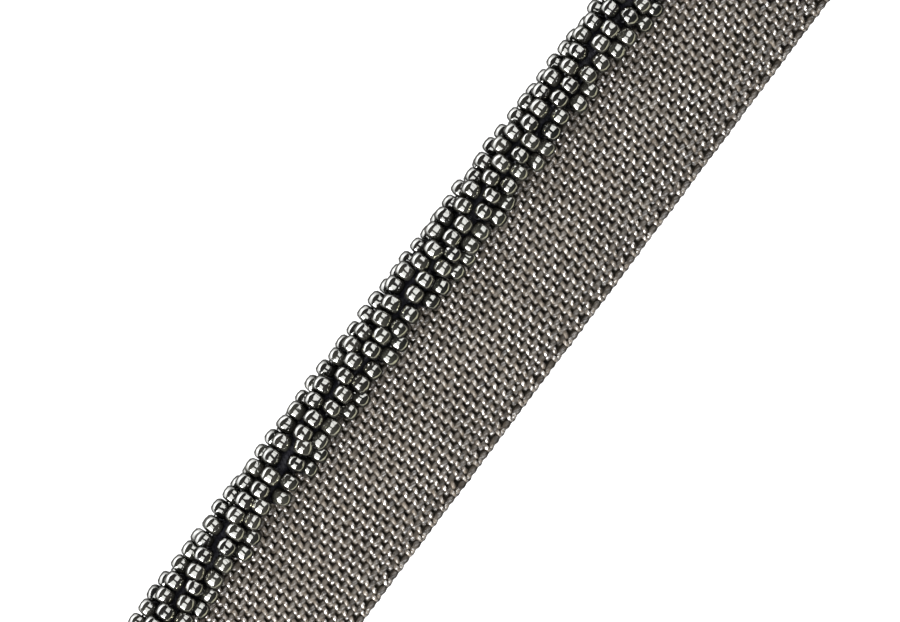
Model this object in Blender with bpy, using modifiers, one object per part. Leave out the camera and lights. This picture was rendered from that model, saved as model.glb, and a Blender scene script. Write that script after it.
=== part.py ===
"""A beaded lip cord, a cut length of trimming lying flat.

A round cord is covered with pairs of glass beads that wind round it, and a woven tape, the lip,
is sewn to it along one side. X runs along the trim, Y across it from the lip's selvedge towards
the cord, and Z is up. The lip lies on the surface and the cord stands on its lowest beads.
All sizes are in metres.
"""

import math

import bmesh
import bpy
import numpy as np
from mathutils import Vector

MM = 0.001

# The whole trim
LENGTH = 150 * MM
WIDTH = 23.7 * MM

# Beads: the two of a pair lie end to end along the cord, and the pairs wind round it
BEAD_LENGTH = 2.05 * MM
BEAD_DIAMETER = 2.34 * MM
BEAD_SPACING = 2.19 * MM
BEAD_RING_RADIUS = 2.80 * MM
PAIR_ADVANCE = 0.6625 * MM
PAIRS_PER_TURN = 6.56

# The cord's surface between the beads, and the bare channel in which the lip is sewn
GAP_RADIUS = 2.45 * MM
CHANNEL_RADIUS = 2.00 * MM
SEAM_ANGLE = math.radians(118)
CHANNEL_HALF_ANGLE = math.radians(26)
CHANNEL_SLOPE_ANGLE = math.radians(16)
BARE_HALF_ANGLE = math.radians(37)
FLAT_SPOT_DEPTH = 0.03 * MM

# The lip
TAPE_THICKNESS = 1.10 * MM
TAPE_EDGE_RADIUS = 2.35 * MM
TAPE_DROP_WIDTH = 9.0 * MM
TAPE_HANDLE = 3.2 * MM
PICKS = 128
SCALLOP_DEPTH = 0.20 * MM
SELVEDGE_WAVE = 0.10 * MM

# How finely the surfaces are divided
STEPS_PER_PAIR = 4
STEPS_PER_TURN = 26
SHOULDER_SHARE = 0.30
DROP_STEPS = 7
FLAT_PLACES = (0.35, 0.7, 0.96, 1.0)

# Places worked out from the sizes above
CORD_RADIUS = BEAD_RING_RADIUS + BEAD_DIAMETER / 2
CORD_AXIS_Y = WIDTH / 2 - CORD_RADIUS
CORD_AXIS_Z = CORD_RADIUS - FLAT_SPOT_DEPTH
TURN_LEAD = PAIR_ADVANCE * STEPS_PER_TURN / STEPS_PER_PAIR


def smooth_step(t):
    """0 below 0, 1 above 1, and a soft S between."""
    t = np.clip(t, 0.0, 1.0)
    return t * t * (3.0 - 2.0 * t)


def angle_from_seam(angle):
    """How far an angle round the cord lies from the seam, from 0 to half a turn."""
    return np.abs((angle - SEAM_ANGLE + math.pi) % (2 * math.pi) - math.pi)


def make_material(name, color, roughness, metallic=0.0):
    """A Principled material with one colour."""
    material = bpy.data.materials.new(name)
    material.use_nodes = True
    shader = material.node_tree.nodes["Principled BSDF"]
    shader.inputs["Base Color"].default_value = (*color, 1.0)
    shader.inputs["Roughness"].default_value = roughness
    shader.inputs["Metallic"].default_value = metallic
    return material


def add_object(name, mesh, material, collection):
    """An object for a mesh, in the trim's collection, with its material."""
    mesh.materials.append(material)
    part = bpy.data.objects.new(name, mesh)
    collection.objects.link(part)
    return part


def bead_heights():
    """The cord's radius at each step round a pair: the crest, its flank and the gap beyond it."""
    step_angle = 2 * math.pi / STEPS_PER_TURN
    heights = []
    for step in range(STEPS_PER_PAIR):
        angle = min(step, STEPS_PER_PAIR - step) * step_angle
        inside = (BEAD_DIAMETER / 2) ** 2 - (BEAD_RING_RADIUS * math.sin(angle)) ** 2
        if inside > 0:
            heights.append(BEAD_RING_RADIUS * math.cos(angle) + math.sqrt(inside))
        else:
            heights.append(GAP_RADIUS)
    return np.array(heights)


def pair_columns():
    """Columns of points across a pair: places from its middle, and whether a bead stands there."""
    middle = BEAD_SPACING / 2
    shoulder = SHOULDER_SHARE * BEAD_LENGTH
    places = [
        -middle - shoulder,
        -middle + shoulder,
        0.0,
        middle - shoulder,
        middle + shoulder,
        TURN_LEAD / 2,
    ]
    on_bead = [True, True, False, True, True, False]
    return np.array(places), np.array(on_bead)


def beaded_surface():
    """Points and faces of the beaded cord, on a grid that winds round it with the beads.

    A row is a step along the helix and a column is a place across a pair. After a whole turn the
    last column of one turn meets the first of the next. The grid holds 6.5 pairs a turn, and a
    slow twist along the cord makes that the real number.
    """
    places, on_bead = pair_columns()
    columns = len(places)
    advance = PAIR_ADVANCE / STEPS_PER_PAIR
    turns = math.ceil(LENGTH / TURN_LEAD / 2) + 2
    steps = np.arange(-turns * STEPS_PER_TURN, turns * STEPS_PER_TURN + 1)
    grid_pairs = STEPS_PER_TURN / STEPS_PER_PAIR
    twist = 2 * math.pi * (grid_pairs / PAIRS_PER_TURN - 1) / TURN_LEAD

    x = steps[:, None] * advance + places[None, :]
    angle = 2 * math.pi * steps[:, None] / STEPS_PER_TURN + twist * x
    pair = np.round(steps / STEPS_PER_PAIR)
    pair_angle = 2 * math.pi * pair / PAIRS_PER_TURN
    bare = angle_from_seam(pair_angle) < BARE_HALF_ANGLE

    height = bead_heights()[steps % STEPS_PER_PAIR]
    height = np.where(bare, GAP_RADIUS, height)
    radius = np.where(on_bead[None, :], height[:, None], GAP_RADIUS)
    open_share = smooth_step((angle_from_seam(angle) - CHANNEL_HALF_ANGLE) / CHANNEL_SLOPE_ANGLE)
    radius = CHANNEL_RADIUS + (radius - CHANNEL_RADIUS) * open_share

    y = CORD_AXIS_Y - radius * np.sin(angle)
    z = np.maximum(CORD_AXIS_Z + radius * np.cos(angle), 0.0)
    points = np.stack([x, y, z], axis=-1).reshape(-1, 3)

    number = np.arange(len(steps) * columns).reshape(len(steps), columns)
    faces = []
    for column in range(columns):
        if column + 1 < columns:
            near, far = number[:, column], number[:, column + 1]
        else:
            near, far = number[:-STEPS_PER_TURN, column], number[STEPS_PER_TURN:, 0]
        faces.append(np.stack([near[:-1], far[:-1], far[1:], near[1:]], axis=1))
    return points, np.concatenate(faces)


def trim_ends(mesh):
    """Cut the long surface square at both ends of the trim and close it there."""
    work = bmesh.new()
    work.from_mesh(mesh)
    for side in (-1, 1):
        everything = work.verts[:] + work.edges[:] + work.faces[:]
        bmesh.ops.bisect_plane(
            work,
            geom=everything,
            dist=0.000001,
            plane_co=Vector((side * LENGTH / 2, 0, 0)),
            plane_no=Vector((side, 0, 0)),
            clear_outer=True,
        )
    rim = [edge for edge in work.edges if edge.is_boundary]
    bmesh.ops.holes_fill(work, edges=rim, sides=0)
    bmesh.ops.recalc_face_normals(work, faces=work.faces)
    work.to_mesh(mesh)
    work.free()


def make_beaded_cord(collection):
    """The cord with its beads, as one closed body with a bump for each bead."""
    points, faces = beaded_surface()
    mesh = bpy.data.meshes.new("beaded_cord")
    mesh.from_pydata(points.tolist(), [], faces.tolist())
    trim_ends(mesh)
    mesh.shade_smooth()
    mesh.set_sharp_from_angle(angle=math.radians(60))
    material = make_material("smoky_glass", (0.035, 0.035, 0.038), 0.12)
    return add_object("beaded_cord", mesh, material, collection)


def tape_path():
    """The lip's middle line across the trim, as y and z, from the seam to the selvedge.

    It leaves the cord straight out of the channel, comes down to the surface on a Bezier curve
    and then lies flat.
    """
    outward = np.array([-math.sin(SEAM_ANGLE), math.cos(SEAM_ANGLE)])
    axis = np.array([CORD_AXIS_Y, CORD_AXIS_Z])
    start = axis + TAPE_EDGE_RADIUS * outward
    end = np.array([CORD_AXIS_Y - TAPE_DROP_WIDTH, TAPE_THICKNESS / 2])
    first_handle = start + TAPE_HANDLE * outward
    last_handle = end + np.array([TAPE_HANDLE, 0.0])
    t = np.linspace(0.0, 1.0, DROP_STEPS + 1)[:, None]
    drop = (
        (1 - t) ** 3 * start
        + 3 * (1 - t) ** 2 * t * first_handle
        + 3 * (1 - t) * t**2 * last_handle
        + t**3 * end
    )
    selvedge = np.array([-WIDTH / 2, TAPE_THICKNESS / 2])
    flat = end + np.array(FLAT_PLACES)[:, None] * (selvedge - end)
    return np.concatenate([drop, flat])


def make_lip_tape(collection):
    """The woven tape: an open surface along its path, given its thickness by Solidify."""
    path = tape_path()
    x = np.linspace(-LENGTH / 2, LENGTH / 2, PICKS + 1)
    rows, columns = len(path), len(x)
    points = np.zeros((rows, columns, 3))
    points[:, :, 0] = x[None, :]
    points[:, :, 1] = path[:, 0, None]
    points[:, :, 2] = path[:, 1, None]

    turn_in = SCALLOP_DEPTH * (np.arange(columns) % 2)
    wave = SELVEDGE_WAVE * (1 + np.sin(2 * math.pi * x / (LENGTH * 0.31) + 0.8)) / 2
    points[-1, :, 1] += turn_in + wave

    number = np.arange(rows * columns).reshape(rows, columns)
    faces = np.stack([number[:-1, :-1], number[1:, :-1], number[1:, 1:], number[:-1, 1:]], axis=-1)
    mesh = bpy.data.meshes.new("lip_tape")
    mesh.from_pydata(points.reshape(-1, 3).tolist(), [], faces.reshape(-1, 4).tolist())
    mesh.shade_smooth()
    mesh.set_sharp_from_angle(angle=math.radians(40))
    material = make_material("taupe_yarn", (0.17, 0.155, 0.14), 0.6)
    tape = add_object("lip_tape", mesh, material, collection)
    thickness = tape.modifiers.new("thickness", "SOLIDIFY")
    thickness.thickness = TAPE_THICKNESS
    thickness.offset = 0.0
    return tape


def main():
    for item in list(bpy.data.objects):
        bpy.data.objects.remove(item, do_unlink=True)
    collection = bpy.data.collections.new("beaded_lip_cord")
    bpy.context.scene.collection.children.link(collection)
    make_beaded_cord(collection)
    make_lip_tape(collection)


main()
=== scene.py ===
# %% [markdown]
# # A beaded lip cord
# A lip cord is a trimming that is sewn into a seam. A round cord shows along the edge, and a flat
# woven tape, the lip, is caught between the two cloths. On this one the cord is covered with short
# barrels of smoky glass. They are sewn on in pairs, end to end along the cord, and the pairs wind
# round it like the thread of a screw.
#
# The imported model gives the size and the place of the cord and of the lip. This script adds what
# a solid can't show: the yarns of the tape, the beads, their threads and the finishes.

import math

import bpy
import numpy as np
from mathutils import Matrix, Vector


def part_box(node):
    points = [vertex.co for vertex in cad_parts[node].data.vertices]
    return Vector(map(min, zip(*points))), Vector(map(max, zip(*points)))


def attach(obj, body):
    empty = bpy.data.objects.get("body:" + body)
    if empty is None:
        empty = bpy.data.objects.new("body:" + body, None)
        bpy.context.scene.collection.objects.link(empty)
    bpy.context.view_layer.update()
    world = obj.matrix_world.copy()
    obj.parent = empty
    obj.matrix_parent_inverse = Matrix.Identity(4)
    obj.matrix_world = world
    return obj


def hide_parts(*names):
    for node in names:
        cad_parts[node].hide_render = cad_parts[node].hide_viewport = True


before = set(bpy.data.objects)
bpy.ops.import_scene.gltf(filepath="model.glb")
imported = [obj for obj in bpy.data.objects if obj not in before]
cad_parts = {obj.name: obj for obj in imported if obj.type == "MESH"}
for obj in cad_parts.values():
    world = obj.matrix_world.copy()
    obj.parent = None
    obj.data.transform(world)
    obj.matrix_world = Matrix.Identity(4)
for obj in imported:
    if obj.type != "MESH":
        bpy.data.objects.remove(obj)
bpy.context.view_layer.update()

# %% [markdown]
# ## Sizes
# All sizes are written in millimetres, as a maker would give them, and turned into metres once,
# when a mesh is made. X runs along the trim, Y across it towards the cord, and Z is up. Whatever
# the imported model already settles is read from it, so that the two can't drift apart.

# %% Sizes of the beaded cord, in millimetres
MM = 0.001
BEAD_LENGTH = 2.04
BEAD_DIAMETER = 2.52
BEAD_SPACING = 2.19
BEAD_RING_RADIUS = 2.80
PACKED_BEAD_RADIUS = 1.17
PAIR_ADVANCE = 0.6625
PAIRS_PER_TURN = 6.56
CORE_RADIUS = 1.78
SEAM_ANGLE = math.radians(118)
BARE_HALF_ANGLE = math.radians(37)
FLAT_SPOT_DEPTH = 0.03

cord_low, cord_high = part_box("beaded_cord")
tape_low, tape_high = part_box("lip_tape")
LENGTH = (cord_high[0] - cord_low[0]) / MM
CORD_RADIUS = BEAD_RING_RADIUS + PACKED_BEAD_RADIUS
AXIS_Y = cord_high[1] / MM - CORD_RADIUS
AXIS_Z = CORD_RADIUS - FLAT_SPOT_DEPTH
SELVEDGE_Y = tape_low[1] / MM
random = np.random.default_rng(7)
print(f"length {LENGTH:.1f} mm, cord axis at y {AXIS_Y:.2f} z {AXIS_Z:.2f}")

# %% Sizes of the lip's yarns, in millimetres
WARP_PITCH_WANTED = 0.744
WEFT_PITCH_WANTED = 1.172
WARP_HALF_WIDTH = 0.385
WARP_HALF_HEIGHT = 0.21
WARP_CRIMP = 0.27
WEFT_HALF_WIDTH = 0.34
WEFT_HALF_HEIGHT = 0.27
WEFT_CRIMP = 0.28
TAPE_DROP_WIDTH = 9.0
TAPE_HANDLE = 3.2

PICKS = round(LENGTH / WEFT_PITCH_WANTED)
PICK_PITCH = LENGTH / PICKS
print(f"{PICKS} picks, {PICK_PITCH:.3f} mm apart")

# %% [markdown]
# ## Turning arrays into meshes
# Nearly every piece here is a bundle of tubes: yarns, threads, the core. A bevelled curve object
# would make a tube too, but it can't carry two plies or a flattened section. Here a tube is a
# function of two parameters, the place along it and the angle round it, so all the tubes of a
# piece are worked out together as one array.

# %% Tubes
def unit(vectors):
    """Each vector divided by its length."""
    return vectors / np.maximum(np.linalg.norm(vectors, axis=-1, keepdims=True), 1e-9)


def tube_points(centres, up, half_width, half_height, sides, lobe=0.0, turn=0.0):
    """Points of tubes along paths.

    centres is (tubes, rings, 3), and up says which way the section's height points. A point is
    centre + r * (half_width * cos(angle) * across + half_height * sin(angle) * upright), where
    r = 1 + lobe * cos(2 * (angle - turn)) raises two plies that wind round the yarn with turn.
    """
    tangent = unit(np.gradient(centres, axis=1))
    across = unit(np.cross(up, tangent))
    upright = np.cross(tangent, across)
    angle = 2 * math.pi * np.arange(sides) / sides
    swell = 1 + np.asarray(lobe)[..., None] * np.cos(2 * (angle - np.asarray(turn)[..., None]))
    wide = (np.asarray(half_width)[..., None] * swell * np.cos(angle))[..., None]
    high = (np.asarray(half_height)[..., None] * swell * np.sin(angle))[..., None]
    return centres[:, :, None, :] + wide * across[:, :, None, :] + high * upright[:, :, None, :]


def tube_faces(tubes, rings, sides):
    """Quads between neighbouring rings, and a flat cap on both ends of each tube."""
    number = np.arange(tubes * rings * sides).reshape(tubes, rings, sides)
    beside = np.roll(number, -1, axis=2)
    corners = [number[:, :-1], beside[:, :-1], beside[:, 1:], number[:, 1:]]
    quads = np.stack(corners, axis=-1).reshape(-1, 4)
    caps = np.concatenate([number[:, 0, ::-1], number[:, -1]])
    return quads, caps


def tube_uv(along, sides, caps):
    """UV for the quads and caps: u is the place along the tube in mm, v goes once round it."""
    near = np.repeat(along[:, :-1, None], sides, axis=2)
    far = np.repeat(along[:, 1:, None], sides, axis=2)
    low = np.broadcast_to(np.arange(sides) / sides, near.shape)
    high = low + 1 / sides
    u = np.stack([near, near, far, far], axis=-1)
    v = np.stack([low, high, high, low], axis=-1)
    quad_uv = np.stack([u, v], axis=-1).reshape(-1, 2)
    return np.concatenate([quad_uv, np.zeros((caps.size, 2))])


print("a tube of 3 rings and 8 sides has", len(tube_faces(1, 3, 8)[0]), "quads")

# %% Pieces and soft randomness
def make_piece(name, points, faces, material, slot, uv=None, **attributes):
    """A mesh object in metres from points in millimetres, riding on the trim's one body.

    faces is a list of index arrays, each with one number of corners. An attribute has a number
    for each point, which the material reads by its name.
    """
    mesh = bpy.data.meshes.new(name)
    rows = [row for block in faces for row in block.tolist()]
    mesh.from_pydata((points.reshape(-1, 3) * MM).tolist(), [], rows)
    if uv is not None:
        mesh.uv_layers.new(name="UVMap")
        mesh.uv_layers["UVMap"].data.foreach_set("uv", uv.astype(np.float32).ravel())
    for key, values in attributes.items():
        mesh.attributes.new(key, "FLOAT", "POINT")
        mesh.attributes[key].data.foreach_set("value", values.astype(np.float32).ravel())
    mesh.shade_smooth()
    mesh.materials.append(material)
    piece = bpy.data.objects.new(name, mesh)
    bpy.context.scene.collection.objects.link(piece)
    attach(piece, "root")
    print(f"{name}: {sum(len(row) - 2 for row in rows)} triangles")
    return piece


def slow_noise(count, length, spacing):
    """Smooth random numbers from about -1 to 1: one row each, soft over spacing places.

    Random knots stand spacing places apart, and s * s * (3 - 2 * s) blends one into the next.
    """
    knots = random.normal(0, 0.6, (count, int(length / spacing) + 4))
    place = np.arange(length) / spacing
    left = place.astype(int)
    share = place - left
    share = share * share * (3 - 2 * share)
    return knots[:, left] * (1 - share) + knots[:, left + 1] * share


# %% [markdown]
# ## Finishes of the yarns and threads
# The tape's yarn is a taupe satin yarn of two plies. A picture of cloth on a flat sheet would not
# catch the light as yarns do, so the yarns are real and the finish only adds what is finer. The
# filaments are a bump that slants along the plies, so the highlights break up. The tone attribute
# makes one yarn a little lighter than the next. The crown attribute says how high a point stands
# in the cloth, and the finish paints shade by it: low places, where the yarns shade each other,
# are painted dark and dull, and the tops of the floats keep their full colour and gloss.

# %% Material helpers
def new_material(name):
    """A node material, its nodes, its links and its Principled shader."""
    material = bpy.data.materials.new(name)
    material.use_nodes = True
    nodes, links = material.node_tree.nodes, material.node_tree.links
    return material, nodes, links, nodes["Principled BSDF"]


def add_node(nodes, kind, inputs=None, **settings):
    """A node with its properties, and with values for the sockets that inputs names."""
    node = nodes.new(kind)
    for key, value in settings.items():
        setattr(node, key, value)
    for socket, value in (inputs or {}).items():
        node.inputs[socket].default_value = value
    return node


def calculate(nodes, links, operation, *values):
    """The result of a Math node on sockets and plain numbers."""
    node = add_node(nodes, "ShaderNodeMath", operation=operation)
    for number, value in enumerate(values):
        if isinstance(value, bpy.types.NodeSocket):
            links.new(value, node.inputs[number])
        else:
            node.inputs[number].default_value = value
    return node.outputs[0]


def blend_colors(nodes, links, blend_type, first, second):
    """Two colours multiplied or added in full."""
    node = add_node(nodes, "ShaderNodeMixRGB", {"Fac": 1.0}, blend_type=blend_type)
    links.new(first, node.inputs[1])
    links.new(second, node.inputs[2])
    return node.outputs["Color"]


def point_value(nodes, name):
    """What a piece's attribute of this name holds."""
    return add_node(nodes, "ShaderNodeAttribute", attribute_name=name).outputs["Fac"]


def noise(nodes, links, scale, detail=2):
    """Soft noise on Object coordinates, with about scale blobs to the metre."""
    place = nodes.new("ShaderNodeTexCoord")
    texture = add_node(nodes, "ShaderNodeTexNoise", {"Scale": scale, "Detail": detail})
    links.new(place.outputs["Object"], texture.inputs["Vector"])
    return texture.outputs["Fac"]


def ramp_color(nodes, links, value, stops):
    """The colour that a ramp gives for a value, with a (place, colour) pair for each stop."""
    ramp = nodes.new("ShaderNodeValToRGB")
    elements = ramp.color_ramp.elements
    for place, color in stops[2:]:
        elements.new(place)
    for element, (place, color) in zip(elements, sorted(stops)):
        element.position = place
        element.color = (*color, 1.0)
    links.new(value, ramp.inputs["Fac"])
    return ramp.outputs["Color"]


def grey(level):
    """A grey as a colour."""
    return (level, level, level)


# %% The finish of a yarn or thread
FILAMENT_SHARE = 0.35
FUZZ_SCALE = 5200
FILAMENT_BUMP_STRENGTH = 0.6
MOTTLE_SCALE = 1500
MOTTLE_SHARE = 0.7
SHINE_PATCH_SCALE = 1100
DULL_PATCH = 0.25
BRIGHT_PATCH = 1.75


def filament_bump(nodes, links, filaments, slant, depth):
    """A bump of filaments that slant round the yarn, with a little fuzz.

    Its height is sin(2 * pi * (filaments * v + slant * u)), where u runs along the yarn in
    millimetres and v once round it.
    """
    uv = add_node(nodes, "ShaderNodeUVMap", uv_map="UVMap")
    split = nodes.new("ShaderNodeSeparateXYZ")
    links.new(uv.outputs["UV"], split.inputs["Vector"])
    around = calculate(nodes, links, "MULTIPLY", split.outputs["Y"], filaments)
    along = calculate(nodes, links, "MULTIPLY", split.outputs["X"], slant)
    turns = calculate(nodes, links, "ADD", around, along)
    angle = calculate(nodes, links, "MULTIPLY", turns, 2 * math.pi)
    wave = calculate(nodes, links, "SINE", angle)
    fuzz = noise(nodes, links, FUZZ_SCALE)
    height = calculate(nodes, links, "MULTIPLY_ADD", wave, FILAMENT_SHARE, fuzz)
    sizes = {"Strength": FILAMENT_BUMP_STRENGTH, "Distance": depth * MM}
    bump = add_node(nodes, "ShaderNodeBump", sizes)
    links.new(height, bump.inputs["Height"])
    return bump.outputs["Normal"]


def thread_color(nodes, links, dark, light):
    """From dark to light by tone and mottle, with painted shade where the crown is low."""
    mottle = noise(nodes, links, MOTTLE_SCALE)
    tone = point_value(nodes, "tone")
    shade = calculate(nodes, links, "MULTIPLY_ADD", mottle, MOTTLE_SHARE, tone)
    plain = ramp_color(nodes, links, shade, [(0.1, dark), (0.9, light)])
    # Painted shade: the low places between the yarns are darkened by their crown height.
    crown = point_value(nodes, "crown")
    depth = ramp_color(nodes, links, crown, [(0.28, grey(0.06)), (0.84, grey(1.0))])
    return blend_colors(nodes, links, "MULTIPLY", plain, depth)


def thread_shine(nodes, links, specular):
    """Gloss on the crowns alone, in bright and dull patches; low places lose it as painted shade."""
    inputs = {
        "From Min": 0.36,
        "From Max": 0.64,
        "To Min": DULL_PATCH * specular,
        "To Max": BRIGHT_PATCH * specular,
    }
    patches = add_node(nodes, "ShaderNodeMapRange", inputs)
    links.new(noise(nodes, links, SHINE_PATCH_SCALE, 3), patches.inputs["Value"])
    crown = point_value(nodes, "crown")
    # Painted shade: the gloss is held down where the crown is low.
    on_crown = ramp_color(nodes, links, crown, [(0.55, grey(0.03)), (0.95, grey(1.0))])
    return calculate(nodes, links, "MULTIPLY", on_crown, patches.outputs["Result"])


def thread_material(name, dark, light, roughness, filaments, slant, depth, specular):
    """Yarn or thread, with colours and gloss that vary and a bump depth millimetres high."""
    material, nodes, links, shader = new_material(name)
    normal = filament_bump(nodes, links, filaments, slant, depth)
    links.new(normal, shader.inputs["Normal"])
    links.new(thread_color(nodes, links, dark, light), shader.inputs["Base Color"])
    links.new(thread_shine(nodes, links, specular), shader.inputs["Specular IOR Level"])
    shader.inputs["Roughness"].default_value = roughness
    return material


yarn_finish = thread_material(
    "taupe_satin_yarn",
    dark=(0.012, 0.010, 0.008),
    light=(0.085, 0.071, 0.056),
    roughness=0.24,
    filaments=9,
    slant=-1.6,
    depth=0.06,
    specular=1.1,
)
core_finish = thread_material(
    "dark_core_thread",
    dark=(0.0015, 0.0015, 0.0022),
    light=(0.006, 0.006, 0.009),
    roughness=0.6,
    filaments=24,
    slant=2.2,
    depth=0.06,
    specular=0.1,
)
stitch_finish = thread_material(
    "dark_stitch_thread",
    dark=(0.003, 0.003, 0.004),
    light=(0.012, 0.012, 0.014),
    roughness=0.5,
    filaments=6,
    slant=-3.0,
    depth=0.02,
    specular=0.15,
)
print("thread finishes:", yarn_finish.name, core_finish.name, stitch_finish.name)

# %% [markdown]
# ## The lip's middle line
# Every yarn of the tape follows one line across the trim. It leaves the cord at the seam, comes
# down to the surface and lies flat to the selvedge. Cloth simulation could let the tape fall, but
# a woven tape this short is stiff and its fall is one soft curve, so a Bezier curve gives it. The
# line is measured along itself, so that a yarn's place in the weave is a length of real cloth.

# %% The middle line and its measure
LOWEST_YARN_ROOM = 1.12
TAPE_MIDDLE_Z = WEFT_CRIMP + WEFT_HALF_HEIGHT * LOWEST_YARN_ROOM
SEAM_OUTWARD = np.array([-math.sin(SEAM_ANGLE), math.cos(SEAM_ANGLE)])
SEAM_CLEARANCE = 0.1
TAPE_LEAVES_AT = 2.35
LINE_OVERRUN = 1.0
SLOPE_STEP = 0.25


def middle_line():
    """y, z points from the core to the selvedge: a straight start, a Bezier drop, a flat rest."""
    axis = np.array([AXIS_Y, AXIS_Z])
    seam = axis + (CORE_RADIUS + SEAM_CLEARANCE) * SEAM_OUTWARD
    leave = axis + TAPE_LEAVES_AT * SEAM_OUTWARD
    rest = np.array([AXIS_Y - TAPE_DROP_WIDTH, TAPE_MIDDLE_Z])
    t = np.linspace(0, 1, 400)[:, None]
    handle_one = leave + TAPE_HANDLE * SEAM_OUTWARD
    handle_two = rest + np.array([TAPE_HANDLE, 0])
    drop = (
        (1 - t) ** 3 * leave
        + 3 * (1 - t) ** 2 * t * handle_one
        + 3 * (1 - t) * t**2 * handle_two
        + t**3 * rest
    )
    end = np.array([SELVEDGE_Y - LINE_OVERRUN, TAPE_MIDDLE_Z])
    return np.concatenate([seam[None], drop, end[None]])


LINE = middle_line()
LINE_MEASURE = np.concatenate([[0], np.cumsum(np.linalg.norm(np.diff(LINE, axis=0), axis=1))])
EDGE_PLACE = LINE_MEASURE[-1] - LINE_OVERRUN


def line_point(place):
    """y and z of the middle line at a place along it."""
    return np.interp(place, LINE_MEASURE, LINE[:, 0]), np.interp(place, LINE_MEASURE, LINE[:, 1])


def on_line(place, height):
    """y and z at a place along the middle line and a height square to it, and that direction.

    The direction is the line's slope, taken a little before and behind, turned a quarter.
    """
    y, z = line_point(place)
    ahead_y, ahead_z = line_point(place + SLOPE_STEP)
    behind_y, behind_z = line_point(place - SLOPE_STEP)
    slope_y, slope_z = ahead_y - behind_y, ahead_z - behind_z
    long = np.hypot(slope_y, slope_z)
    normal_y, normal_z = slope_z / long, -slope_y / long
    return y + height * normal_y, z + height * normal_z, normal_y, normal_z


print(f"the tape is {EDGE_PLACE:.2f} mm wide from the seam to the selvedge")

# %% [markdown]
# ## The weave
# The tape is a plain weave: each weft pick goes over one warp end and under the next, and its
# neighbour does the opposite. It could be a bump on a sheet, but at this scale the yarns show one
# by one, so each is a tube. The warp lies along the trim. The ends stand closer at the selvedge,
# where they are also flatter, and their colour is painted darker there as shade.

# %% Where the warp ends lie
SELVEDGE_ENDS = 5
SELVEDGE_PITCH = 0.60
LOOP_REACH = 0.02
INNER_PLACE = 0.25
LAST_END_OUTWARD = 0.24

OUTER_PLACE = EDGE_PLACE - LOOP_REACH - WEFT_HALF_WIDTH
BODY_WIDTH = OUTER_PLACE - SELVEDGE_ENDS * SELVEDGE_PITCH - INNER_PLACE
BODY_ENDS = round(BODY_WIDTH / WARP_PITCH_WANTED)
END_PITCH = BODY_WIDTH / BODY_ENDS
ENDS = BODY_ENDS + SELVEDGE_ENDS
end_edges = np.concatenate(
    [
        INNER_PLACE + np.arange(BODY_ENDS + 1) * END_PITCH,
        OUTER_PLACE - np.arange(SELVEDGE_ENDS - 1, -1, -1) * SELVEDGE_PITCH,
    ]
)
end_places = (end_edges[:-1] + end_edges[1:]) / 2
end_places[-1] += LAST_END_OUTWARD
print(f"{ENDS} warp ends, {END_PITCH:.3f} mm apart")

# %% Warp ends
SIDES = 8
WARP_STEPS = 6
WARP_SKEW = 0.45
WARP_PICK_SHIFT = 0.06
WARP_PLY_LOBE = 0.16
WARP_PLY_LEAD = 1.12
WARP_CROWN_SHARE = 0.86
WARP_WANDER = 0.035
PLY_WANDER = 0.25


def crown_of(height, tall):
    """How high a point stands, 0 at the bottom to 1 on a float's top; low points get painted shade.
    """
    angle = 2 * math.pi * np.arange(SIDES) / SIDES
    level = height[..., None] + tall[..., None] * np.sin(angle)
    return np.clip(0.5 + level / (2 * (WEFT_CRIMP + WEFT_HALF_HEIGHT)), 0, 1)


def warp_piece(name, ends):
    """The warp ends with these numbers, as waves along X that go over every other pick.

    With t = pi * (pick + end), the wave is -cos(t - skew * cos(t) - skew), which is a cosine
    that rises faster than it falls.
    """
    rings = PICKS * WARP_STEPS + 1
    x = np.linspace(-LENGTH / 2, LENGTH / 2, rings)
    pick = (x + LENGTH / 2) / PICK_PITCH - 0.5
    count = len(ends)
    t = math.pi * (pick[None, :] + ends[:, None] - WARP_PICK_SHIFT)
    wave = -np.cos(t - WARP_SKEW * np.cos(t) - WARP_SKEW)
    dense = np.clip((ends - BODY_ENDS + 1) / 2, 0, 1)[:, None]
    height = WARP_CRIMP * wave * (1 + 0.12 * slow_noise(count, rings, 14)) * (1 - 0.35 * dense)
    place = end_places[ends][:, None] + WARP_WANDER * slow_noise(count, rings, 20)
    y, z, normal_y, normal_z = on_line(place, height)
    centres = np.stack([np.broadcast_to(x, y.shape), y, z], axis=-1)
    up = np.stack([np.zeros_like(y), normal_y, normal_z], axis=-1)
    width = WARP_HALF_WIDTH * (1 + 0.07 * slow_noise(count, rings, 9) - 0.06 * wave + 0.08 * dense)
    turn = math.pi / 2 + math.pi * (pick[None, :] + ends[:, None] + WARP_PLY_LEAD)
    turn = turn + PLY_WANDER * slow_noise(count, rings, 30)
    lobe = np.full(y.shape, WARP_PLY_LOBE)
    tall = np.full(y.shape, WARP_HALF_HEIGHT)
    points = tube_points(centres, up, width, tall, SIDES, lobe, turn)
    quads, caps = tube_faces(count, rings, SIDES)
    uv = tube_uv(np.broadcast_to(x + LENGTH / 2, y.shape), SIDES, caps)
    # Painted shade: the selvedge ends are darker, against the light the glowing floor throws on the
    # edge.
    tone = random.normal(0.0, 0.06, count) - 0.08 * dense[:, 0]
    tone = np.repeat(tone, rings * SIDES)
    # Painted shade and highlight: the warp's crown is scaled down, so it is painted darker and
    # duller.
    crown = WARP_CROWN_SHARE * crown_of(height, tall)
    faces = [quads, caps]
    return make_piece(name, points, faces, yarn_finish, "tape", uv, tone=tone, crown=crown)


numbers = np.arange(ENDS)
warp_inner = warp_piece("tape_warp_inner", numbers[: ENDS // 2])
warp_outer = warp_piece("tape_warp_outer", numbers[ENDS // 2 :])

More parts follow.
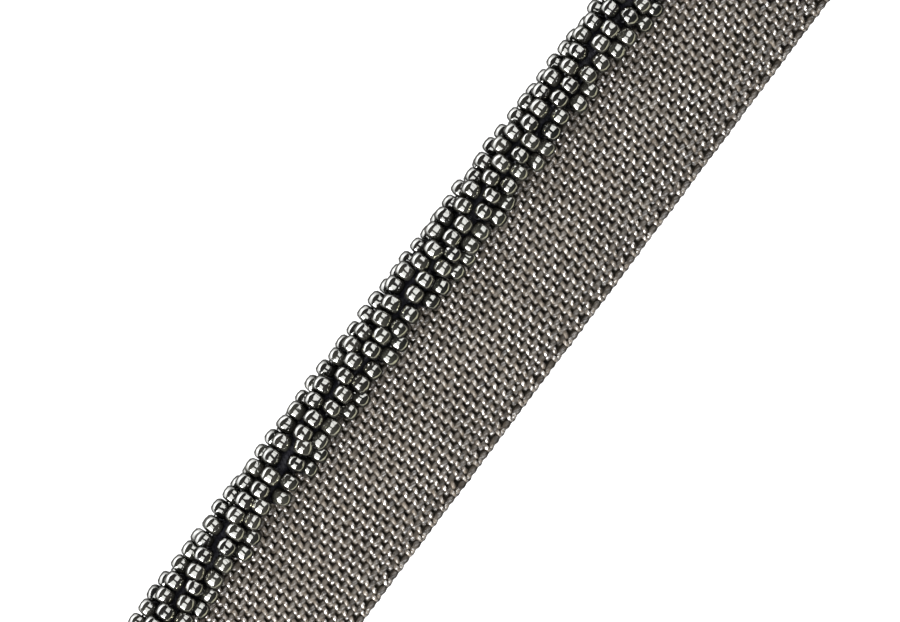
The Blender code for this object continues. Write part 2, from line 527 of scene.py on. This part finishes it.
# %% [markdown]
# ## The weft
# The weft is one yarn that goes to and fro across the tape and turns back at the selvedge, which
# gives the edge its small loops. Separate picks would be simpler, but their cut ends would show
# there. It is lighter than the warp, and one of its two plies lies on top of each float.

# %% The weft
WEFT_STEPS = 4
TURN_STEPS = 6
WEFT_PLY_LOBE = 0.32
WEFT_WANDER = 0.045
FLOAT_SLANT = 0.06
LEAN_WIDTH = 2.6
LEAN = 0.26
SELVEDGE_TURN = 0.24
SEAM_TURN = 0.5


def weft_piece(name, first, last):
    """The picks from first up to last, as one yarn that turns at the selvedge and at the seam.

    On a pick the height is a cosine of the place across, on top of every other end. A turn is
    half an ellipse beyond the outermost end. Two picks that meet at the selvedge lean together.
    """
    picks = np.arange(first, last)
    count = len(picks)
    rings = ENDS * WEFT_STEPS + 1
    end = np.linspace(0, ENDS, rings) - 0.5
    outward = np.interp(end + 0.5, np.arange(ENDS + 1), end_edges)
    x_middle = -LENGTH / 2 + (picks + 0.5) * PICK_PITCH
    backward = (picks % 2 == 1)[:, None]
    near_edge = np.clip((outward - OUTER_PLACE + LEAN_WIDTH) / LEAN_WIDTH, 0, 1)[None, :]
    lean = np.where(backward, -1, 1) * near_edge**2 * LEAN * PICK_PITCH
    phase = math.pi * (end[None, :] + picks[:, None])
    wave = np.cos(phase)
    height = WEFT_CRIMP * wave * (1 + 0.10 * slow_noise(count, rings, 12))
    slant = -FLOAT_SLANT * np.sin(phase)
    x = x_middle[:, None] + slant + lean + WEFT_WANDER * slow_noise(count, rings, 16)
    place = np.broadcast_to(outward, x.shape)
    turn = math.pi / 2 + phase / 2
    turn = turn + PLY_WANDER * slow_noise(count, rings, 30)
    turn = np.where(backward, -turn + math.pi, turn)

    bend = math.pi * (np.arange(TURN_STEPS) + 1)[None, :] / (TURN_STEPS + 1)
    half_turn = PICK_PITCH * np.where(backward, SEAM_TURN, SELVEDGE_TURN)
    bend_x = x_middle[:, None] + PICK_PITCH / 2 - half_turn * np.cos(bend)
    reach = LOOP_REACH * np.sin(bend) * (1 + 0.12 * random.normal(0, 1, (count, 1)))
    bend_place = np.where(backward, INNER_PLACE - 0.4 * reach, OUTER_PLACE + reach)
    last_wave = np.where(backward, 0.0, wave[:, -1:] - wave[:, -3:-2])
    bend_height = 0.5 * WEFT_CRIMP * last_wave * np.cos(bend)
    flat = np.zeros_like(bend_x)

    def along_path(on_pick, on_bend):
        """One row for the whole yarn: each pick in the way it is thrown, then its turn."""
        thrown = np.where(backward, on_pick[:, ::-1], on_pick)
        return np.concatenate([thrown, on_bend], axis=1).reshape(1, -1)[:, :-TURN_STEPS]

    x_path = along_path(x, bend_x)
    height_path = along_path(height, bend_height)
    lobe_path = along_path(np.full(x.shape, WEFT_PLY_LOBE), flat)
    y, z, normal_y, normal_z = on_line(along_path(place, bend_place), height_path)
    centres = np.stack([x_path, y, z], axis=-1)
    up = np.stack([np.zeros_like(y), normal_y, normal_z], axis=-1)
    wide = WEFT_HALF_WIDTH * (1 + 0.06 * slow_noise(1, x_path.shape[1], 9))
    tall = np.full(x_path.shape, WEFT_HALF_HEIGHT)
    points = tube_points(centres, up, wide, tall, SIDES, lobe_path, along_path(turn, flat))
    quads, caps = tube_faces(1, x_path.shape[1], SIDES)
    steps = np.linalg.norm(np.diff(centres, axis=1), axis=2)
    uv = tube_uv(np.concatenate([[0], np.cumsum(steps)])[None, :], SIDES, caps)
    tone = random.normal(0.18, 0.07, count)
    tone = np.repeat(tone, (rings + TURN_STEPS) * SIDES)[: points.shape[1] * SIDES]
    # The crown height carries the yarn finish's painted shade.
    crown = crown_of(height_path, tall)
    faces = [quads, caps]
    return make_piece(name, points, faces, yarn_finish, "tape", uv, tone=tone, crown=crown)


weft_left = weft_piece("tape_weft_left", 0, PICKS // 2)
weft_right = weft_piece("tape_weft_right", PICKS // 2, PICKS)

# %% [markdown]
# ## The painted-shade sheet of the tape
# Deep between the yarns no light gets in. Thicker yarns would close the holes, but they would cut
# into each other. So a very thin dark sheet of painted shade stands on the middle line.

# %% The painted-shade sheet
SHADE_SHEET_THICKNESS = 0.10
SHADE_SHEET_START = 0.05
SHADE_SHEET_DROP_END = 14
SHADE_SHEET_END_INSET = 0.15

# Painted shade: a near-black sheet that stands for the shade deep between the yarns.
shade_sheet_finish, nodes, links, shade_sheet_shader = new_material("deep_yarn_shadow")
shade_sheet_stops = [(0.3, grey(0.002)), (0.7, (0.008, 0.007, 0.005))]
shade_sheet_color = ramp_color(nodes, links, noise(nodes, links, 2500), shade_sheet_stops)
links.new(shade_sheet_color, shade_sheet_shader.inputs["Base Color"])
shade_sheet_shader.inputs["Roughness"].default_value = 0.9
shade_sheet_shader.inputs["Specular IOR Level"].default_value = 0.0


def make_shade_sheet():
    """An open surface of painted shade, the middle line carried along X, thickened by Solidify."""
    place = np.concatenate([np.linspace(SHADE_SHEET_START, SHADE_SHEET_DROP_END, 40), [OUTER_PLACE]])
    x = np.linspace(-LENGTH / 2 + SHADE_SHEET_END_INSET, LENGTH / 2 - SHADE_SHEET_END_INSET, 60)
    y, z, _, _ = on_line(place, 0.0)
    points = np.zeros((len(place), len(x), 3))
    points[..., 0] = x[None, :]
    points[..., 1] = y[:, None]
    points[..., 2] = z[:, None]
    number = np.arange(len(place) * len(x)).reshape(len(place), len(x))
    corners = [number[:-1, :-1], number[1:, :-1], number[1:, 1:], number[:-1, 1:]]
    faces = np.stack(corners, axis=-1).reshape(-1, 4)
    sheet = make_piece("tape_shade_sheet", points, [faces], shade_sheet_finish, "tape")
    thickness = sheet.modifiers.new("thickness", "SOLIDIFY")
    thickness.thickness = SHADE_SHEET_THICKNESS * MM
    thickness.offset = 0.0
    return sheet


tape_shade_sheet = make_shade_sheet()
yarns = [warp_inner, warp_outer, weft_left, weft_right]
for piece in [tape_shade_sheet, *yarns]:
    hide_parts("lip_tape")
print(f"flat size {LENGTH:.0f} by {OUTER_PLACE:.1f} mm")

# %% [markdown]
# ## The core
# Under the beads runs a round cord wrapped in dark thread. The wrapping could be a long thin tube,
# but it shows only in the gaps, so the core is one tube with low ridges where the thread winds
# round it, and a flat cut at each end.

# %% The core
CORE_SIDES = 36
CORE_RINGS = 900
RIDGE_HEIGHT = 0.05
RIDGE_PITCH = 0.6
DARK_THREAD_TONE = 0.25


def core_piece():
    """A tube along X. Its radius is the core's plus ridge height * cos(2 pi x / pitch + angle)."""
    x = np.linspace(-LENGTH / 2, LENGTH / 2, CORE_RINGS)
    angle = 2 * math.pi * np.arange(CORE_SIDES) / CORE_SIDES
    phase = 2 * math.pi * x[:, None] / RIDGE_PITCH + angle[None, :]
    radius = CORE_RADIUS + RIDGE_HEIGHT * np.cos(phase)
    points = np.stack(
        [
            np.broadcast_to(x[:, None], radius.shape),
            AXIS_Y + radius * np.cos(angle),
            AXIS_Z + radius * np.sin(angle),
        ],
        axis=-1,
    )
    quads, caps = tube_faces(1, CORE_RINGS, CORE_SIDES)
    uv = tube_uv(x[None, :] + LENGTH / 2, CORE_SIDES, caps)
    tone = np.full(radius.size, DARK_THREAD_TONE)
    crown = np.ones(radius.size)
    faces = [quads, caps]
    return make_piece("cord_core", points, faces, core_finish, "core", uv, tone=tone, crown=crown)


core = core_piece()
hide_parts("beaded_cord")

# %% [markdown]
# ## Smoky glass
# The beads look nearly black with clear white glints, and near its outline each one has a bright
# line where light runs through the glass. A shader that bends light shows that only on a dense
# mesh, and with hundreds of small beads it turns grey and grainy. So the body is a dark gloss whose
# colour falls to a painted dark edge at the outline, and Layer Weight paints the bright line into
# the gloss colour where the surface starts to turn away. The line is painted light: white on the
# side away from the lip, where it brightens the reflection of the floor and the low strip, and
# olive on the side towards it, painted light that has run through the glass. It fades at the bead's
# ends.

# %% The glass
GLASS_GLOSS_SHARE = 0.85
WOBBLE_SCALE = 700
WOBBLE_DEPTH = 0.45


def painted_light_line(nodes, links, facing):
    """The painted light line inside the outline, by the bead's facing, its side and its middle."""
    stops = [(0.20, grey(0.0)), (0.26, grey(0.75)), (0.42, grey(0.75)), (0.52, grey(0.0))]
    line = ramp_color(nodes, links, facing, stops)
    side_stops = [(0.35, (0.26, 0.25, 0.14)), (0.65, (1.0, 1.0, 0.98))]
    side = ramp_color(nodes, links, point_value(nodes, "cord_side"), side_stops)
    colored = blend_colors(nodes, links, "MULTIPLY", line, side)
    return blend_colors(nodes, links, "MULTIPLY", colored, point_value(nodes, "bead_middle"))


def glass_material():
    """A little smoke under much gloss, whose colour falls to a painted dark edge, with the painted
    line.
    """
    material, nodes, links, shader = new_material("smoky_glass")
    smoke_stops = [(0.0, (0.02, 0.02, 0.018)), (1.0, (0.07, 0.068, 0.055))]
    smoke = ramp_color(nodes, links, point_value(nodes, "tone"), smoke_stops)
    links.new(smoke, shader.inputs["Base Color"])
    shader.inputs["Roughness"].default_value = 0.08
    shader.inputs["IOR"].default_value = 1.55

    facing = add_node(nodes, "ShaderNodeLayerWeight", {"Blend": 0.5}).outputs["Facing"]
    # Painted shade: the gloss colour falls from the middle to a dark edge at the outline.
    middle, rim = (0.11, 0.11, 0.105), (0.03, 0.03, 0.026)
    body = ramp_color(nodes, links, facing, [(0.0, middle), (0.3, middle), (0.5, rim)])
    # Painted light: the bright line is added to the gloss colour.
    color = blend_colors(nodes, links, "ADD", body, painted_light_line(nodes, links, facing))
    wobble = add_node(nodes, "ShaderNodeBump", {"Strength": 0.5, "Distance": WOBBLE_DEPTH * MM})
    links.new(noise(nodes, links, WOBBLE_SCALE, 1), wobble.inputs["Height"])
    gloss = add_node(nodes, "ShaderNodeBsdfGlossy", {"Roughness": 0.05})
    links.new(color, gloss.inputs["Color"])
    links.new(wobble.outputs["Normal"], gloss.inputs["Normal"])

    both = add_node(nodes, "ShaderNodeMixShader", {"Fac": GLASS_GLOSS_SHARE})
    links.new(shader.outputs["BSDF"], both.inputs[1])
    links.new(gloss.outputs["BSDF"], both.inputs[2])
    links.new(both.outputs["Shader"], nodes["Material Output"].inputs["Surface"])
    return material


glass = glass_material()
print("glass finish:", glass.name)

# %% [markdown]
# ## Where the pairs sit
# The pairs are sewn on one after another, each a step along the cord and a part of a turn round
# it. Each could be placed by hand, but two numbers, the step and the pairs in a turn, give the
# winding of the real one. Along the seam the cord stays bare. Each pair has its own small errors
# of place and tilt, as hand sewing leaves them.

# %% The places of the pairs
PLACE_ERROR = 0.17
ANGLE_ERROR = math.radians(3.0)
YAW_ERROR = math.radians(7)

pair_count = int((LENGTH / 2 - BEAD_SPACING) / PAIR_ADVANCE)
pair = np.arange(-pair_count, pair_count + 1)
pair_angle = 2 * math.pi * pair / PAIRS_PER_TURN
from_seam = np.abs((pair_angle - SEAM_ANGLE + math.pi) % (2 * math.pi) - math.pi)
kept = from_seam > BARE_HALF_ANGLE
PAIRS = kept.sum()
pair_x = (pair * PAIR_ADVANCE)[kept] + random.normal(0, PLACE_ERROR, PAIRS)
pair_angle = pair_angle[kept] + random.normal(0, ANGLE_ERROR, PAIRS)
pair_yaw = random.normal(0, YAW_ERROR, PAIRS)
print(f"{PAIRS} pairs of beads")

# %% [markdown]
# ## The beads
# A bead is a short barrel with a hole through it. A sphere is too round and a cylinder has edges
# that are too hard, so the outline is a superellipse, a shape between a circle and a rectangle,
# turned round the hole. As there are hundreds of beads, each has only a few dozen faces, and all
# of them are one mesh from one array.

# %% The bead's outline and all the beads
BEAD_SIDES = 12
OUTLINE_STEPS = 6
HOLE_RADIUS = 0.42
SQUARENESS = 3.3


def bead_outline():
    """Places along the bead's axis and radii, as shares of half its length and of its radius.

    x = sin(t)^(2/n) and r = cos(t)^(2/n), with the sign of sin(t), from one rim of the hole to
    the other. n is the squareness.
    """
    hole_share = HOLE_RADIUS / (BEAD_DIAMETER / 2)
    last = math.acos(hole_share ** (SQUARENESS / 2))
    t = np.linspace(-last, last, OUTLINE_STEPS + 1)
    x = np.sign(t) * np.abs(np.sin(t)) ** (2 / SQUARENESS)
    r = np.cos(t) ** (2 / SQUARENESS)
    return x, r


def ring_faces(count, rings):
    """Quads round each bead. The last ring meets the first one, which makes the hole's wall."""
    number = np.arange(count * rings * BEAD_SIDES).reshape(count, rings, BEAD_SIDES)
    beside = np.roll(number, -1, axis=2)
    corners = [number, np.roll(number, -1, axis=1), np.roll(beside, -1, axis=1), beside]
    return np.stack(corners, axis=-1).reshape(-1, 4)


def bead_piece():
    """Every bead as its outline turned round its own axis, tilted, and set on the ring.

    cord_side is 1 where the glass faces away from the lip, and bead_middle fades from 1 round
    the bead's middle to 0 at its ends.
    """
    count = 2 * PAIRS
    outline_x, outline_r = bead_outline()
    centre_x = np.concatenate([pair_x - BEAD_SPACING / 2, pair_x + BEAD_SPACING / 2])
    angle = np.tile(pair_angle, 2) + random.normal(0, math.radians(1.5), count)
    yaw = np.tile(pair_yaw, 2) + random.normal(0, math.radians(3), count)
    pitch = random.normal(0, math.radians(4), count)
    side = np.repeat([-1.0, 1.0], PAIRS)
    slip = side * BEAD_SPACING / 2 * np.sin(np.tile(pair_yaw, 2))
    long = BEAD_LENGTH / 2 * (1 + random.normal(0, 0.04, count).clip(-0.1, 0.05))
    wide = BEAD_DIAMETER / 2 * (1 + random.normal(0, 0.035, count).clip(-0.08, 0.05))
    ring = BEAD_RING_RADIUS + (wide - BEAD_DIAMETER / 2)

    turn = 2 * math.pi * np.arange(BEAD_SIDES) / BEAD_SIDES
    local_x = long[:, None, None] * outline_x[None, :, None] * np.ones(BEAD_SIDES)
    local_t = wide[:, None, None] * outline_r[None, :, None] * np.cos(turn)
    local_r = wide[:, None, None] * outline_r[None, :, None] * np.sin(turn)
    cos_yaw, sin_yaw = np.cos(yaw)[:, None, None], np.sin(yaw)[:, None, None]
    cos_pitch, sin_pitch = np.cos(pitch)[:, None, None], np.sin(pitch)[:, None, None]
    along = local_x * cos_yaw - local_t * sin_yaw
    across = local_x * sin_yaw + local_t * cos_yaw
    out = local_r * cos_pitch + along * sin_pitch
    along = along * cos_pitch - local_r * sin_pitch

    out = out + ring[:, None, None]
    across = across + slip[:, None, None]
    sine, cosine = np.sin(angle)[:, None, None], np.cos(angle)[:, None, None]
    x = centre_x[:, None, None] + along
    y = AXIS_Y - out * sine - across * cosine
    z = AXIS_Z + out * cosine - across * sine
    z = z + np.maximum(0.0, -z.min(axis=(1, 2), keepdims=True))
    points = np.stack([x, y, z], axis=-1)

    rings = len(outline_x)
    tone = np.repeat(random.uniform(0, 1, count), rings * BEAD_SIDES)
    # cord_side and bead_middle steer the glass's painted light line: white or olive, faded at the
    # ends.
    facing_away = -np.sin(turn) * sine - np.cos(turn) * cosine
    cord_side = np.broadcast_to(0.5 + 0.5 * facing_away, x.shape)
    middle = np.clip(1.6 - 2.0 * np.abs(outline_x), 0, 1)[None, :, None]
    bead_middle = np.broadcast_to(middle, x.shape)
    values = {"tone": tone, "cord_side": cord_side, "bead_middle": bead_middle}
    return make_piece("beads", points, [ring_faces(count, rings)], glass, "beads", **values)


beads = bead_piece()
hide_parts("beaded_cord")

# %% [markdown]
# ## The bead threads
# One stitch holds each pair. It comes out of the core at one end of the pair, runs through both
# holes and dives back at the other end. It hardly shows, and without it the beads would float. A
# thin tube along nine points is enough.

# %% Bead threads
THREAD_RADIUS = 0.13
THREAD_SIDES = 6


def thread_piece():
    """A thread for each pair: out of the core, through the pair along X, and back in.

    route gives places along the pair as shares of its half length, and drop the depths below
    the ring of beads in millimetres.
    """
    reach = BEAD_SPACING / 2 + BEAD_LENGTH / 2
    route = np.array([-1.12, -1.10, -1.02, -0.5, 0.0, 0.5, 1.02, 1.10, 1.12]) * reach
    drop = np.array([1.15, 0.75, 0.12, 0.0, 0.0, 0.0, 0.12, 0.75, 1.15])
    x = pair_x[:, None] + route[None, :]
    across = np.sin(pair_yaw)[:, None] * route[None, :]
    out = BEAD_RING_RADIUS - drop[None, :]
    sine, cosine = np.sin(pair_angle)[:, None], np.cos(pair_angle)[:, None]
    y = AXIS_Y - out * sine - across * cosine
    z = AXIS_Z + out * cosine - across * sine
    centres = np.stack([x, y, z], axis=-1)
    up = np.stack([np.zeros_like(y), -cosine * np.ones_like(y), -sine * np.ones_like(y)], axis=-1)
    radius = np.full(y.shape, THREAD_RADIUS)
    points = tube_points(centres, up, radius, radius, THREAD_SIDES)
    quads, caps = tube_faces(PAIRS, len(route), THREAD_SIDES)
    uv = tube_uv(np.broadcast_to(route + 1.2 * reach, y.shape), THREAD_SIDES, caps)
    values = {
        "tone": np.full(y.size * THREAD_SIDES, DARK_THREAD_TONE),
        "crown": np.ones(y.size * THREAD_SIDES),
    }
    return make_piece("bead_threads", points, [quads, caps], stitch_finish, "core", uv, **values)


threads = thread_piece()
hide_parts("beaded_cord")

# %% [markdown]
# ## Floor, light and camera
# The trim lies on a plain white surface under a straight camera. One large lamp above would lay
# one round glint on each bead. So two soft panels stand one above the other beyond each end of
# the trim, which gives each bead a pair of highlights, and a low strip on the cord's side draws
# the white line along the beads' outer edge, which the glass's painted light line brightens. The
# surface glows a little, so that it stays white under light that comes from the sides.

# %% The floor
TABLE_HALF = 1.5

floor_finish, nodes, links, floor_shader = new_material("white_table")
floor_shader.inputs["Base Color"].default_value = (0.12, 0.12, 0.12, 1.0)
floor_shader.inputs["Roughness"].default_value = 1.0
floor_shader.inputs["Specular IOR Level"].default_value = 0.0
floor_shader.inputs["Emission Color"].default_value = (1.0, 1.0, 1.0, 1.0)
floor_shader.inputs["Emission Strength"].default_value = 1.05
floor_corners = [(x * TABLE_HALF, y * TABLE_HALF, 0) for x, y in [(-1, -1), (1, -1), (1, 1), (-1, 1)]]
floor_mesh = bpy.data.meshes.new("table")
floor_mesh.from_pydata(floor_corners, [], [(0, 1, 2, 3)])
floor_mesh.materials.append(floor_finish)
floor = bpy.data.objects.new("table", floor_mesh)
bpy.context.scene.collection.objects.link(floor)
print(f"the table is {2 * TABLE_HALF} m square")

# %% Lights
def soft_light(name, place, size, watts):
    """A white rectangular area light, its place and size in metres, that faces the trim."""
    data = bpy.data.lights.new(name, "AREA")
    data.shape = "RECTANGLE"
    data.size, data.size_y = size
    data.energy = watts
    light = bpy.data.objects.new(name, data)
    light.location = place
    light.rotation_euler = (-light.location).to_track_quat("-Z", "Y").to_euler()
    bpy.context.scene.collection.objects.link(light)
    print(f"{name}: {watts} W")


soft_light("panel_near_end_low", (-0.50, 0.0, 0.29), (0.50, 0.28), 22)
soft_light("panel_near_end_high", (-0.26, 0.0, 0.51), (0.50, 0.34), 4)
soft_light("panel_far_end_low", (0.50, 0.0, 0.29), (0.50, 0.28), 3.0)
soft_light("panel_far_end_high", (0.26, 0.0, 0.51), (0.50, 0.34), 4)
soft_light("low_strip_cord_side", (0.0, 0.6, 0.08), (1.2, 0.15), 1.3)

world = bpy.data.worlds.new("studio")
world.use_nodes = True
world.node_tree.nodes["Background"].inputs["Color"].default_value = (1.0, 1.0, 1.0, 1.0)
world.node_tree.nodes["Background"].inputs["Strength"].default_value = 0.05
bpy.context.scene.world = world
bpy.context.scene.view_settings.view_transform = "Standard"

# %% The camera
PICTURE_WIDTH = 900
PIXELS_PER_MM = 8.0
TRIM_ANGLE = math.radians(53.1)
CAMERA_DISTANCE = 1.2
CAMERA_REACH = 10
CENTRE_FROM_OUTER_BEADS = 9.1
SENSOR_WIDTH = 36

seen_width = PICTURE_WIDTH / PIXELS_PER_MM * MM
camera_data = bpy.data.cameras.new("camera")
camera_data.sensor_width = SENSOR_WIDTH
camera_data.lens = SENSOR_WIDTH * CAMERA_DISTANCE / seen_width
camera_data.clip_end = CAMERA_REACH
camera = bpy.data.objects.new("camera", camera_data)
camera.location = (0.0, cord_high[1] - CENTRE_FROM_OUTER_BEADS * MM, CAMERA_DISTANCE)
camera.rotation_euler = (0, 0, -TRIM_ANGLE)
bpy.context.scene.collection.objects.link(camera)
bpy.context.scene.camera = camera
print(f"lens {camera_data.lens:.0f} mm, {seen_width / MM:.1f} mm seen across")
